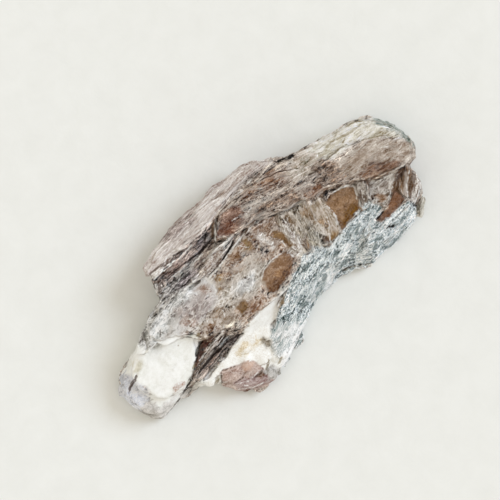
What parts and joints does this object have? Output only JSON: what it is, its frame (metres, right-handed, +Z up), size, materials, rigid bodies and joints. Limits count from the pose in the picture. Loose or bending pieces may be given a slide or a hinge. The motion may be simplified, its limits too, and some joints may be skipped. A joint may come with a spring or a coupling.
{
  "type": "raw alunite",
  "caption": "Loose natural mineral piece: a long flat mass of flaky cleavage blades grown together, rounded at its thin end, resting on a flat underside.",
  "frame": {"origin": "centre of the bounding box, on the surface that the piece rests on", "axes": "+X along the blades to the thick end, +Y across them to the pink blade's side, +Z up from the resting face"},
  "size_m": [0.0914, 0.0441, 0.0176],
  "materials": {
    "alunite": "natural cleaved stone, brown, grey and cream, pearly on the flat sheets and dull on the chalky patches"
  },
  "bodies": {
    "root": {"alunite": "alunite"}
  },
  "joints": []
}
